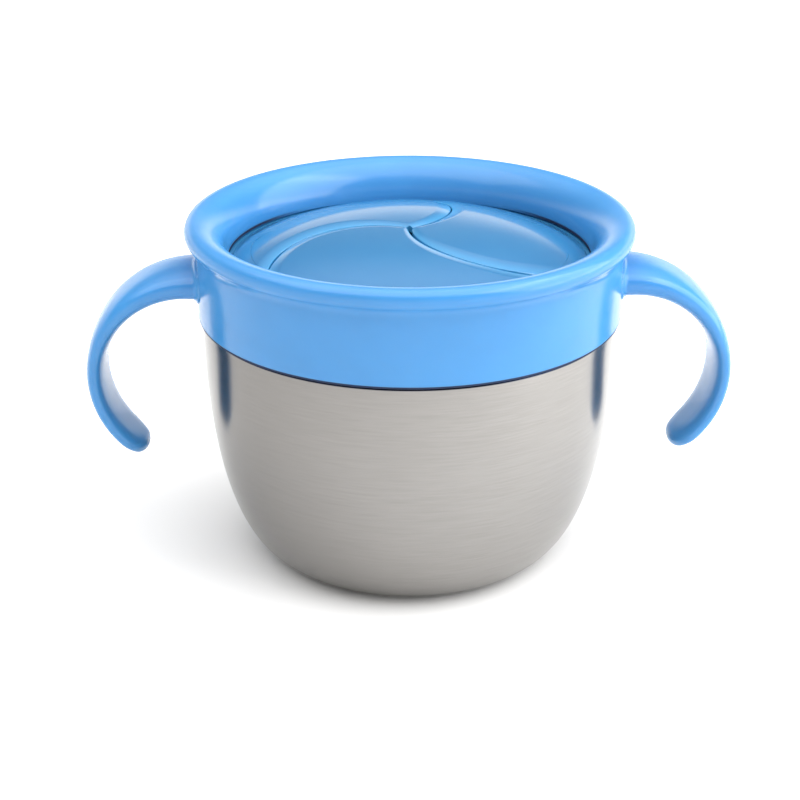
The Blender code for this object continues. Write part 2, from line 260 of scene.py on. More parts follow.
class Finish:
    """What every finish does: name a material and fill its one Principled shader."""

    def sockets(self, graph: Graph) -> dict:
        """What the Principled shader gets from the graph's nodes, by socket name."""
        raise NotImplementedError

    def material(self, name: str) -> bpy.types.Material:
        """Makes the material.

        Args:
            name: its name.

        Returns:
            The new material.
        """
        made = bpy.data.materials.new(name)
        graph = Graph(made)
        shader = graph.tree.nodes["Principled BSDF"]
        for key, given in self.sockets(graph).items():
            graph.fill(shader.inputs[key], given)
        return made


@dataclass(frozen=True)
class Milkiness:
    """Light that wanders a little way into a soft plastic."""

    weight: float
    reach: Colour
    depth: float
    ior: float = 1.5

    def sockets(self) -> dict:
        """Its numbers for the Principled shader, by socket name."""
        return {
            "IOR": self.ior,
            "Subsurface Weight": self.weight,
            "Subsurface Radius": self.reach,
            "Subsurface Scale": self.depth,
        }


@dataclass(frozen=True)
class GlossPlastic(Finish):
    """Glossy moulded polypropylene, a little milky, with faint flow and fine wear."""

    shade: Colour = (0.050, 0.250, 0.560)
    deep: Colour = (0.047, 0.236, 0.530)
    cloud: Grain = Grain(16.0, 16.0, 11.0, 3.0)
    cloud_ease: Pair = (0.35, 0.7)
    # Painted shade: a deep navy put where the collar's mesh is marked, under the skirt's edge and
    # beside the funnel's foot.
    painted_shade_colour: Colour = (0.002, 0.012, 0.045)
    crevice_dullness: float = 0.6
    roughness: float = 0.17
    wear: float = 0.07
    rub: Grain = Grain(2.4, 2.4, 1.2, 4.0)
    rub_ease: Pair = (0.4, 0.75)
    wave: Grain = Grain(5.0, 5.0, 5.0, 1.0)
    wave_depth: float = 0.006
    milk: Milkiness = Milkiness(0.2, (0.25, 0.6, 1.0), 0.002)

    def sockets(self, graph: Graph) -> dict:
        """Cloudy colour, painted shade where marked, soft sheen and a barely waved skin.

        Args:
            graph: the material's nodes.

        Returns:
            The shader's sockets.
        """
        cloud = graph.noise(self.cloud).smooth(*self.cloud_ease)
        rub = graph.noise(self.rub).smooth(*self.rub_ease)
        # The mark is the collar's share of painted shade.
        dark = graph.attribute("mark")
        body = graph.mix(cloud, self.shade, self.deep)
        return {
            "Base Color": graph.mix(dark, body, self.painted_shade_colour),
            "Roughness": self.roughness + self.wear * rub + self.crevice_dullness * dark,
            "Normal": graph.bump(graph.noise(self.wave), self.wave_depth),
            **self.milk.sockets(),
        }


@dataclass(frozen=True)
class SoftElastomer(Finish):
    """Slightly clear, glossy elastomer, with painted light along the flaps' sloped borders by the
    slits.
    """

    shade: Colour = (0.026, 0.154, 0.335)
    # Painted light: a paler colour along the flaps' sloped borders by the slits, standing in for
    # the light they catch; the random clouding leans to it too.
    pale_painted_light: Colour = (0.042, 0.240, 0.470)
    cloud: Grain = Grain(14.0, 14.0, 8.0, 2.0)
    clouding: float = 0.25
    roughness: float = 0.08
    wear: float = 0.05
    rub: Grain = Grain(1.6, 1.6, 1.6, 3.0)
    wave: Grain = Grain(6.0, 6.0, 6.0, 1.0)
    wave_depth: float = 0.004
    milk: Milkiness = Milkiness(0.25, (0.3, 0.7, 1.0), 0.0015)

    def sockets(self, graph: Graph) -> dict:
        """Colour with painted light towards the slits, random clouding, and a wet-looking skin.

        Args:
            graph: the material's nodes.

        Returns:
            The shader's sockets.
        """
        base = graph.mix(graph.attribute("mark"), self.shade, self.pale_painted_light)
        return {
            "Base Color": graph.mix(graph.noise(self.cloud) * self.clouding, base, self.pale_painted_light),
            "Roughness": self.roughness + self.wear * graph.noise(self.rub),
            "Normal": graph.bump(graph.noise(self.wave), self.wave_depth),
            **self.milk.sockets(),
        }


@dataclass(frozen=True)
class BrushedSteel(Finish):
    """Stainless steel brushed round the bowl: hair-fine level scratches under a soft sheen."""

    shade: Colour = (0.338, 0.327, 0.314)
    # Painted shade: the bowl's colour darkens to the left, standing in for the darker reflections
    # on that side.
    left_painted_shade: Colour = (0.228, 0.219, 0.209)
    painted_shade_run: Pair = (-44.0, 30.0)
    dull: Colour = (0.160, 0.152, 0.143)
    dulling: float = 0.23
    dull_ease: Pair = (0.38, 0.66)
    hair: Grain = Grain(7.0, 7.0, 0.08, 3.0)
    hair_share: float = 0.7
    streak: Grain = Grain(12.0, 12.0, 0.3, 2.0)
    streak_share: float = 0.3
    haze: Grain = Grain(15.0, 15.0, 5.0, 2.0)
    roughness: float = 0.19
    scratch_roughness: float = 0.05
    haze_roughness: float = 0.04
    anisotropy: float = 0.75
    across_brushing: float = 0.25
    scratch_depth: float = 0.001
    # Painted shade: a deep navy on the bowl's outer shoulder just under the skirt, where the gap
    # lies in shade.
    painted_shade_colour: Colour = (0.004, 0.014, 0.045)
    crevice_z: Pair = (53.72, 53.95)
    crevice_radius: Pair = (43.5, 43.7)

    def sockets(self, graph: Graph) -> dict:
        """Level streaks, painted shade to the left, and painted shade on the outer shoulder.

        Args:
            graph: the material's nodes.

        Returns:
            The shader's sockets.
        """
        scratch = self.hair_share * graph.noise(self.hair)
        scratch = scratch + self.streak_share * graph.noise(self.streak)
        haze = graph.noise(self.haze)
        across, along = graph.axis("X"), graph.axis("Y")
        # Painted shade: darker to the left, lighter to the right, along X.
        painted_tone = graph.mix(across.smooth(*self.painted_shade_run), self.left_painted_shade, self.shade)
        metal = graph.mix(self.dulling * scratch.smooth(*self.dull_ease), painted_tone, self.dull)
        # Painted shade on the outer shoulder, between these heights and outside this radius.
        near, far = self.crevice_radius
        outside = (across * across + along * along).smooth(near ** 2, far ** 2)
        shoulder = graph.axis("Z").smooth(*self.crevice_z) * outside
        rough = self.roughness + self.scratch_roughness * scratch + self.haze_roughness * haze
        return {
            "Base Color": graph.mix(shoulder, metal, self.painted_shade_colour),
            "Metallic": 1.0,
            "Roughness": rough,
            "Anisotropic": self.anisotropy,
            "Anisotropic Rotation": self.across_brushing,
            "Normal": graph.bump(scratch, self.scratch_depth),
        }


@dataclass(frozen=True)
class Silicone(Finish):
    """Matte, slightly milky silicone."""

    shade: Colour = (0.78, 0.82, 0.86)
    dusty: Colour = (0.70, 0.74, 0.79)
    dusting: float = 0.3
    dust: Grain = Grain(1.2, 1.2, 1.2, 3.0)
    dust_depth: float = 0.01
    roughness: float = 0.5
    dust_roughness: float = 0.15

    def sockets(self, graph: Graph) -> dict:
        """Even colour with a dusty sheen.

        Args:
            graph: the material's nodes.

        Returns:
            The shader's sockets.
        """
        dust = graph.noise(self.dust)
        return {
            "Base Color": graph.mix(dust * self.dusting, self.shade, self.dusty),
            "Roughness": self.roughness + self.dust_roughness * dust,
            "Normal": graph.bump(dust, self.dust_depth),
        }


@dataclass(frozen=True)
class PaleFloor(Finish):
    """Plain pale floor of the studio."""

    shade: Colour = (0.90, 0.90, 0.90)
    cloudy: Colour = (0.89, 0.89, 0.89)
    cloud: Grain = Grain(400.0, 400.0, 400.0, 1.0)
    roughness: float = 0.8
    specular: float = 0.1

    def sockets(self, graph: Graph) -> dict:
        """Even matte white with the faintest clouding.

        Args:
            graph: the material's nodes.

        Returns:
            The shader's sockets.
        """
        return {
            "Base Color": graph.mix(graph.noise(self.cloud), self.shade, self.cloudy),
            "Roughness": self.roughness,
            "Specular IOR Level": self.specular,
        }


# Surfaces worked out on a grid.

def arc(centre: Pair, radius: float, start: float, end: float, steps: int) -> np.ndarray:
    """Round corner of a profile: centre + radius * (cos angle, sin angle).

    Args:
        centre: (radius, height) of the corner's middle.
        radius: the corner's radius.
        start: first angle in degrees.
        end: last angle in degrees.
        steps: how many straight pieces it has.

    Returns:
        Points as rows of (radius, height).
    """
    angles = np.radians(np.linspace(start, end, steps + 1))
    out, up = centre[0] + radius * np.cos(angles), centre[1] + radius * np.sin(angles)
    return np.stack([out, up], axis=1)


def smoothstep(low: float, high: float, number: np.ndarray) -> np.ndarray:
    """Numbers eased as 3t^2 - 2t^3, from 0 at low to 1 at high."""
    t = np.clip((number - low) / (high - low), 0.0, 1.0)
    return t * t * (3.0 - 2.0 * t)


def add_object(name: str, data: bpy.types.ID) -> bpy.types.Object:
    """Puts a new object in the scene.

    Args:
        name: its name.
        data: its mesh, camera or light.

    Returns:
        The new object.
    """
    made = bpy.data.objects.new(name, data)
    bpy.context.scene.collection.objects.link(made)
    return made


@dataclass
class Skin:
    """A grid of points skinned with quads, closed by its wrap, by poles or by folded ends.

    Its columns always close round. The corner is the sharpest angle in degrees that still
    shades smooth.
    """

    grid: np.ndarray
    wrap_rows: bool = False
    first_pole: np.ndarray | None = None
    last_pole: np.ndarray | None = None
    folded_ends: bool = False
    mark: np.ndarray | None = None
    corner: float = 35.0

    def _faces(self) -> tuple[np.ndarray, np.ndarray]:
        """Face corners by grid arithmetic: each cell is a quad, each pole a fan.

        Returns:
            Quads and triangles as rows of vertex numbers.
        """
        rows, columns = self.grid.shape[:2]
        index = np.arange(rows * columns).reshape(rows, columns)
        index = np.concatenate([index, index[:, :1]], axis=1)
        if self.wrap_rows:
            index = np.concatenate([index, index[:1]], axis=0)
        cells = (index[:-1, :-1], index[1:, :-1], index[1:, 1:], index[:-1, 1:])
        quads = [np.stack(cells, axis=-1).reshape(-1, 4)]
        triangles = [np.zeros((0, 3), int)]
        pole = rows * columns
        if self.first_pole is not None:
            fan = (np.full(columns, pole), index[0, :-1], index[0, 1:])
            triangles.append(np.stack(fan, axis=1))
            pole += 1
        if self.last_pole is not None:
            fan = (np.full(columns, pole), index[-1, 1:], index[-1, :-1])
            triangles.append(np.stack(fan, axis=1))
        if self.folded_ends:
            half = columns // 2
            for row, order in ((index[0], 1), (index[-1], -1)):
                near = row[:half]
                far = row[:-1][::-1][:half]
                fold = np.stack([near[:-1], near[1:], far[1:], far[:-1]], axis=1)
                quads.append(fold[:, ::order])
        return np.concatenate(quads), np.concatenate(triangles)

    def mesh(self, name: str) -> bpy.types.Mesh:
        """Makes the mesh, turned right side out by the sign of its volume.

        Args:
            name: the mesh's name.

        Returns:
            The new mesh.
        """
        poles = [pole for pole in (self.first_pole, self.last_pole) if pole is not None]
        poles = [np.reshape(pole, (1, 3)) for pole in poles]
        points = np.concatenate([self.grid.reshape(-1, 3)] + poles)
        quads, triangles = self._faces()
        split = np.concatenate([quads[:, [0, 1, 2]], quads[:, [0, 2, 3]], triangles])
        first, second, third = (points[split[:, corner]] for corner in range(3))
        if np.einsum("ij,ij->", first, np.cross(second, third)) < 0:
            quads, triangles = quads[:, ::-1], triangles[:, ::-1]
        made = bpy.data.meshes.new(name)
        made.from_pydata(points.tolist(), [], quads.tolist() + triangles.tolist())
        made.shade_smooth()
        made.set_sharp_from_angle(angle=math.radians(self.corner))
        if self.mark is not None:
            held = made.attributes.new("mark", "FLOAT", "POINT")
            held.data.foreach_set("value", self.mark.astype(np.float32).ravel())
        return made


def turned(profile: np.ndarray, columns: int, poles: bool = False) -> Skin:
    """Turns a profile round Z: (r cos a, r sin a, z) over profile points and angles.

    Args:
        profile: rows of (radius, height), a closed loop, or from axis to axis.
        columns: how many angles round.
        poles: whether the first and last points lie on the axis.

    Returns:
        The skin.
    """
    angles = np.linspace(0.0, 2 * np.pi, columns, endpoint=False)
    body = profile[1:-1] if poles else profile
    radius, height = body[:, :1], body[:, 1:]
    grid = np.stack(
        np.broadcast_arrays(radius * np.cos(angles), radius * np.sin(angles), height), axis=-1
    )
    if not poles:
        return Skin(grid, wrap_rows=True)
    first, last = (np.array([0.0, 0.0, point[1]]) for point in (profile[0], profile[-1]))
    return Skin(grid, first_pole=first, last_pole=last)


@dataclass(frozen=True)
class Bend:
    """A soft piece's bend: the body at its far end, and the points where it starts and ends."""

    body: str
    start: Vector
    end: Vector


class Piece:
    """What every sub-assembly does: put a mesh in the scene with its finish and frame calls."""

    def put(
        self,
        name: str,
        skin: Skin,
        material: bpy.types.Material,
        slot: Slot,
        body: Body,
        bend: Bend | None = None,
    ) -> None:
        """Puts one finished piece in place of the CAD node it is named for.

        Args:
            name: the CAD node's name; the piece adds "_skin".
            skin: its surface.
            material: its finish.
            slot: the record's slot; not used.
            body: the body it rides on, for a piece without a bend.
            bend: for a soft piece, where it would bend; the piece is left unparented, and only the
                bend's body is read, for the log.
        """
        mesh = skin.mesh(name + "_skin")
        made = add_object(name + "_skin", mesh)
        mesh.materials.append(material)
        if bend is None:
            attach(made, body.value)
        else:
            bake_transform(made)
        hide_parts(name)
        holder = bend.body if bend else body.value
        LOG.info("%s: %d faces on %s", made.name, len(mesh.polygons), holder)


# The container.

@dataclass
class Sizes:
    """Radii and heights that two or more pieces share."""

    height: float = 75.0 * MM
    skirt_radius: float = 45.0 * MM
    skirt_inner: float = 43.0 * MM
    skirt_bottom: float = 54.45 * MM
    plug_outer: float = 40.2 * MM
    channel_inner: float = 68.3 * MM
    channel_outer: float = 71.7 * MM
    neck_inner: float = 40.8 * MM
    groove_top: float = 63.5 * MM
    groove_bottom: float = 61.0 * MM
    groove_floor: float = 39.2 * MM
    seat_z: float = 64.8 * MM
    snap_radius: float = 38.9 * MM
    gap: float = 0.3 * MM


@dataclass
class SteelBowl(Piece):
    """Deep-drawn bowl: necked-in mouth, curled rim, full belly, pressed-in base."""

    sizes: Sizes = field(default_factory=Sizes)
    finish: BrushedSteel = BrushedSteel()
    thickness: float = 0.7 * MM
    base_radius: float = 26.8 * MM
    roundness: float = 2.26
    top_radius: float = 44.1 * MM
    wall_z: float = 53.4 * MM
    top_z: float = 53.8 * MM
    shoulder_radius: float = 0.4 * MM
    inner_corner: float = 0.1 * MM
    neck_foot_radius: float = 0.9 * MM
    bead_radius: float = 0.9 * MM
    recess_radius: float = 20.0 * MM
    recess_depth: float = 0.6 * MM
    recess_slope: float = 1.6 * MM
    bead_steps: int = 14
    shoulder_steps: int = 8
    neck_foot_steps: int = 6
    inner_corner_steps: int = 4
    inner_bead_steps: int = 8
    wall_rows: int = 72
    columns: int = 192

    def _bead(self) -> Pair:
        """Middle of the curled rim, a gap under the channel's sloping roof.

        Returns:
            Its radius and height.
        """
        sizes = self.sizes
        run = sizes.skirt_inner - sizes.plug_outer
        rise = sizes.channel_outer - sizes.channel_inner
        radius = sizes.neck_inner + self.bead_radius
        below = (self.bead_radius + sizes.gap) * math.hypot(run, rise)
        lift = (radius - sizes.plug_outer) * rise - below
        return radius, sizes.channel_inner + lift / run

    def _wall(self, top: float, foot: float, top_z: float, foot_z: float) -> np.ndarray:
        """Wall as a quarter of a rounded square: across cos^(2/n), down sin^(2/n).

        Args:
            top: radius at the wall's top.
            foot: radius at its foot.
            top_z: height of its top.
            foot_z: height of its foot.

        Returns:
            Points from just under the top down to the foot.
        """
        turn = np.linspace(0.0, np.pi / 2, self.wall_rows + 1)[1:]
        power = 2 / self.roundness
        across = (top - foot) * np.clip(np.cos(turn), 0, 1) ** power
        down = (top_z - foot_z) * np.sin(turn) ** power
        return np.stack([foot + across, top_z - down], axis=1)

    def _outside(self) -> np.ndarray:
        """Outside, from the curled rim down to the middle of the base.

        Returns:
            Rows of (radius, height).
        """
        bead = self._bead()
        neck = self.sizes.neck_inner + self.thickness
        meet = math.degrees(math.acos((bead[0] - neck) / self.bead_radius))
        foot = self.neck_foot_radius
        foot_middle = (neck + foot, self.top_z + self.shoulder_radius + foot)
        shoulder = (self.top_radius - self.shoulder_radius, self.top_z)
        ring = self.recess_radius
        return np.concatenate([
            arc(bead, self.bead_radius, 90, meet - 180, self.bead_steps),
            arc(foot_middle, foot, 180, 270, self.neck_foot_steps),
            arc(shoulder, self.shoulder_radius, 90, 0, self.shoulder_steps),
            self._wall(self.top_radius, self.base_radius, self.wall_z, 0.0),
            [(ring, 0.0), (ring - self.recess_slope, self.recess_depth), (0.0, self.recess_depth)],
        ])

    def _inside(self) -> np.ndarray:
        """Inside, from the middle of the floor up to the curled rim.

        Returns:
            Rows of (radius, height).
        """
        wall = self.top_radius - self.thickness
        floor = self.recess_depth + self.thickness
        ceiling = self.top_z + self.shoulder_radius - self.thickness
        inner = self.inner_corner
        outer = self.neck_foot_radius + self.thickness
        shoulder = (wall - inner, ceiling - inner)
        foot = (self.sizes.neck_inner + outer, ceiling + outer)
        return np.concatenate([
            [(0.0, floor)],
            self._wall(wall, self.base_radius, shoulder[1], floor)[::-1],
            arc(shoulder, inner, 0, 90, self.inner_corner_steps),
            arc(foot, outer, 270, 180, self.neck_foot_steps),
            arc(self._bead(), self.bead_radius, 180, 90, self.inner_bead_steps)[:-1],
        ])

    def build(self) -> None:
        """Turns inside and outside as one shell, pole to pole."""
        profile = np.concatenate([self._inside(), self._outside()])
        skin = turned(profile, self.columns, poles=True)
        material = self.finish.material("brushed_steel")
        self.put("steel_bowl", skin, material, Slot.STEEL, Body.BOWL)


@dataclass
class LidCollar(Piece):
    """Blue collar: rolled lip, skirt, rim channel, plug, disc seat and funnel."""

    sizes: Sizes = field(default_factory=Sizes)
    lip_radius: float = 47.2 * MM
    lip_tube: float = 2.1 * MM
    under_fillet: float = 3.0 * MM
    skirt_edge: float = 0.35 * MM
    edge_shade_low: float = 54.90 * MM
    edge_shade_high: float = 55.10 * MM
    plug_inner: float = 38.2 * MM
    plug_bottom: float = 59.8 * MM
    plug_lead_in: float = 0.6 * MM
    seat_inner: float = 36.2 * MM
    seat_thickness: float = 1.4 * MM
    snap_height: float = 1.4 * MM
    funnel_foot: Pair = (38.35 * MM, 66.7 * MM)
    funnel_land: float = 0.4 * MM
    foot_shade: float = 0.35 * MM
    foot_shade_sides: Pair = (0.55, 0.85)
    lip_steps: int = 22
    fillet_steps: int = 12
    edge_steps: int = 6
    funnel_rows: int = 36
    columns: int = 216

    def _outside(self) -> np.ndarray:
        """Lip's crest, round the lip, down the skirt and round its lower edge.

        Returns:
            Rows of (radius, height).
        """
        sizes = self.sizes
        lip = (self.lip_radius - self.lip_tube, sizes.height - self.lip_tube)
        run = sizes.skirt_radius + self.under_fillet - lip[0]
        drop = math.sqrt((self.under_fillet + self.lip_tube) ** 2 - run ** 2)
        tangent = math.degrees(math.atan2(-drop, run))
        under = (sizes.skirt_radius + self.under_fillet, lip[1] - drop)
        edge = self.skirt_edge
        low = sizes.skirt_bottom + edge
        return np.concatenate([
            arc(lip, self.lip_tube, 90, tangent, self.lip_steps),
            arc(under, self.under_fillet, 180 + tangent, 180, self.fillet_steps)[1:],
            [(sizes.skirt_radius, z) for z in (self.edge_shade_high, self.edge_shade_low)],
            arc((sizes.skirt_radius - edge, low), edge, 0, -90, self.edge_steps),
            arc((sizes.skirt_inner + edge, low), edge, -90, -180, self.edge_steps),
        ])

    def _hidden(self) -> np.ndarray:
        """Rim channel, plug with its seal groove, disc seat and snap groove.

        Returns:
            Rows of (radius, height).
        """
        sizes = self.sizes
        seat = sizes.seat_z
        foot = self.funnel_foot
        return np.array([
            (sizes.skirt_inner, sizes.channel_outer),
            (sizes.plug_outer, sizes.channel_inner),
            (sizes.plug_outer, sizes.groove_top),
            (sizes.groove_floor, sizes.groove_top),
            (sizes.groove_floor, sizes.groove_bottom),
            (sizes.plug_outer, sizes.groove_bottom),
            (sizes.plug_outer, self.plug_bottom + self.plug_lead_in),
            (sizes.plug_outer - self.plug_lead_in, self.plug_bottom),
            (self.plug_inner, self.plug_bottom),
            (self.plug_inner, seat - self.seat_thickness),
            (self.seat_inner, seat - self.seat_thickness),
            (self.seat_inner, seat),
            (sizes.snap_radius, seat),
            (sizes.snap_radius, seat + self.snap_height),
            (foot[0], foot[1] - self.funnel_land),
        ])

    def _funnel(self) -> np.ndarray:
        """Funnel, a quarter ellipse: crest radius - run cos a, foot height + rise sin a.

        Returns:
            Rows of (radius, height) from the foot to just before the crest.
        """
        turn = np.linspace(0.0, np.pi / 2, self.funnel_rows + 1)[:-1]
        crest = self.lip_radius - self.lip_tube
        foot_radius, foot_z = self.funnel_foot
        run, rise = crest - foot_radius, self.sizes.height - foot_z
        return np.stack([crest - run * np.cos(turn), foot_z + rise * np.sin(turn)], axis=1)

    def _crevice_shade(self, grid: np.ndarray) -> np.ndarray:
        """Dark share: 1 under the skirt's edge and beside the funnel's foot, eased to 0.

        Args:
            grid: the collar's points.

        Returns:
            Shares from 0 to 1, one for each point.
        """
        radius, height = np.hypot(grid[..., 0], grid[..., 1]), grid[..., 2]
        skirt = 1 - smoothstep(self.edge_shade_low, self.edge_shade_high, height)
        foot_radius, foot_z = self.funnel_foot
        foot = 1 - smoothstep(foot_z, foot_z + self.foot_shade, height)
        foot = foot * (radius < foot_radius + self.foot_shade)
        sideways = smoothstep(*self.foot_shade_sides, np.abs(grid[..., 0]) / radius)
        return np.maximum(skirt, foot * sideways)

    def build(self, plastic: bpy.types.Material) -> None:
        """Turns the whole collar as one closed loop.

        Args:
            plastic: the collar's finish.
        """
        profile = np.concatenate([self._outside(), self._hidden(), self._funnel()])
        skin = turned(profile, self.columns)
        skin.mark = self._crevice_shade(skin.grid)
        self.put("lid_collar", skin, plastic, Slot.PLASTIC, Body.LID)


@dataclass
class Handle(Piece):
    """One open hook handle, grown out of the skirt, turned down and curled back in."""

    side: Side
    sizes: Sizes = field(default_factory=Sizes)
    root_z: float = 61.7 * MM
    root_fillet: float = 1.0 * MM
    root_run: float = 0.2 * MM
    root_bury: float = 0.5 * MM
    root_start: float = -0.35
    turn_drop: float = 20.9 * MM
    span: float = 139.0 * MM
    tail_radius: float = 21.8 * MM
    tail_sweep: float = 57.0
    tail_crowding: float = 1.8
    tail_stop: float = 0.99995
    stations: Triple = (0.0, 0.5, 1.0)
    widths: Triple = (18.2 * MM, 16.7 * MM, 13.0 * MM)
    thicknesses: Triple = (6.6 * MM, 4.0 * MM, 3.8 * MM)
    tip_round: float = 5.9 * MM
    squareness: float = 2.7
    corner: float = 60.0
    around: int = 56
    turn_rows: int = 44
    tail_rows: int = 36
    root_rows: int = 8

    def _section(self, width: np.ndarray, thickness: np.ndarray) -> np.ndarray:
        """Soft-cornered band: across = |cos|^(2/n) w/2, up = |sin|^(2/n) t/2, with their signs.

        Args:
            width: one width for each ring.
            thickness: one thickness for each ring.

        Returns:
            Rings of (across, up).
        """
        turn = np.linspace(0.0, 2 * np.pi, self.around, endpoint=False)
        power = 2 / self.squareness
        across = np.sign(np.cos(turn)) * np.abs(np.cos(turn)) ** power
        up = np.sign(np.sin(turn)) * np.abs(np.sin(turn)) ** power
        return np.stack([width[:, None] * across / 2, thickness[:, None] * up / 2], axis=-1)

    def _path(self) -> tuple[np.ndarray, np.ndarray, np.ndarray]:
        """Middle line: a quarter of an ellipse, then a round arc.

        The arc's rows crowd towards the tip, and the last stops a hair short of it, where
        the rounding would shrink its ring to a point.

        Returns:
            Points (x, z), headings (x, z) and each point's distance from the free end.
        """
        start = self.sizes.skirt_radius + self.sizes.gap + self.root_fillet + self.root_run
        reach = self.span / 2 - self.thicknesses[1] / 2
        turn_z = self.root_z - self.turn_drop
        angle = np.linspace(np.pi / 2, 0.0, self.turn_rows + 1)
        turn = np.stack([
            start + (reach - start) * np.cos(angle),
            turn_z + self.turn_drop * np.sin(angle),
        ], axis=1)
        sweep = math.radians(self.tail_sweep)
        share = np.linspace(0.0, 1.0, self.tail_rows + 1)[1:]
        bend = sweep * (1 - (1 - share) ** self.tail_crowding) * self.tail_stop
        tail = np.stack([
            reach - self.tail_radius + self.tail_radius * np.cos(bend),
            turn_z - self.tail_radius * np.sin(bend),
        ], axis=1)
        turn_run = np.stack([(reach - start) * np.sin(angle), -self.turn_drop * np.cos(angle)], 1)
        tail_run = np.stack([-np.sin(bend), -np.cos(bend)], axis=1)
        run = np.concatenate([turn_run, tail_run])
        run /= np.linalg.norm(run, axis=1, keepdims=True)
        points = np.concatenate([turn, tail])
        steps = np.linalg.norm(np.diff(points, axis=0), axis=1)
        left = np.concatenate([np.cumsum(steps[::-1])[::-1], [0.0]])
        left += (sweep - bend[-1]) * self.tail_radius
        return points, run, left

    def _round(self, left: np.ndarray, radius: float) -> np.ndarray:
        """Share of the full size, left before a round end: sqrt(1 - (1 - left / radius)^2)."""
        return np.sqrt(1 - (1 - np.clip(left / radius, 0.0, 1.0)) ** 2)

    def _root(self) -> np.ndarray:
        """Rings at the root: a quarter-round flare laid on the round skirt, then buried in it.

        Returns:
            Rings of (x, y, z), from the one inside the skirt outwards.
        """
        turn = np.linspace(self.root_start, np.pi / 2, self.root_rows + 1)
        flare = self.root_fillet * (1 - np.sin(np.clip(turn, 0, None)))
        stand_off = self.root_fillet * (1 - np.cos(turn)) * np.sign(np.clip(turn, 0, None))
        clear = (self.root_bury + self.sizes.gap) * (turn > 0)
        radius = self.sizes.skirt_radius - self.root_bury + clear + stand_off
        section = self._section(self.widths[0] + 2 * flare, self.thicknesses[0] + 2 * flare)
        x = self.side.value * np.sqrt(radius[:, None] ** 2 - section[..., 0] ** 2)
        return np.stack([x, section[..., 0], self.root_z + section[..., 1]], axis=-1)

    def build(self, plastic: bpy.types.Material) -> None:
        """Carries the section along the path, from inside the skirt to the round tip.

        Args:
            plastic: the handle's finish.
        """
        points, run, left = self._path()
        share = 1 - left / left[0]
        width = np.interp(share, self.stations, self.widths) * self._round(left, self.tip_round)
        thickness = np.interp(share, self.stations, self.thicknesses)
        thickness = thickness * self._round(left, self.thicknesses[2] / 2)
        section = self._section(width, thickness)
        x = points[:, :1] - run[:, 1:] * section[..., 1]
        z = points[:, 1:] + run[:, :1] * section[..., 1]
        grid = np.stack([self.side.value * x, section[..., 0], z], axis=-1)
        grid = np.concatenate([self._root(), grid])
        first, last = grid[0].mean(axis=0), grid[-1].mean(axis=0)
        skin = Skin(grid, first_pole=first, last_pole=last, corner=self.corner)
        self.put("handle_" + self.side.name.lower(), skin, plastic, Slot.PLASTIC, Body.LID)


@dataclass
class SealRing(Piece):
    """Soft ring in the plug's groove, with a rounded face towards the steel neck."""

    sizes: Sizes = field(default_factory=Sizes)
    finish: Silicone = Silicone()
    round_share: float = 0.45
    corner_steps: int = 6
    columns: int = 144

    def build(self) -> None:
        """Turns a rounded bar round Z."""
        sizes = self.sizes
        inner = sizes.groove_floor + sizes.gap
        outer = sizes.neck_inner - sizes.gap
        top = sizes.groove_top - sizes.gap
        low = sizes.groove_bottom + sizes.gap
        corner = (outer - inner) * self.round_share
        profile = np.concatenate([
            [(inner, top)],
            arc((outer - corner, top - corner), corner, 90, 0, self.corner_steps),
            arc((outer - corner, low + corner), corner, 0, -90, self.corner_steps),
            [(inner, low)],
        ])
        material = self.finish.material("silicone")
        self.put("seal_ring", turned(profile, self.columns), material, Slot.SILICONE, Body.LID)


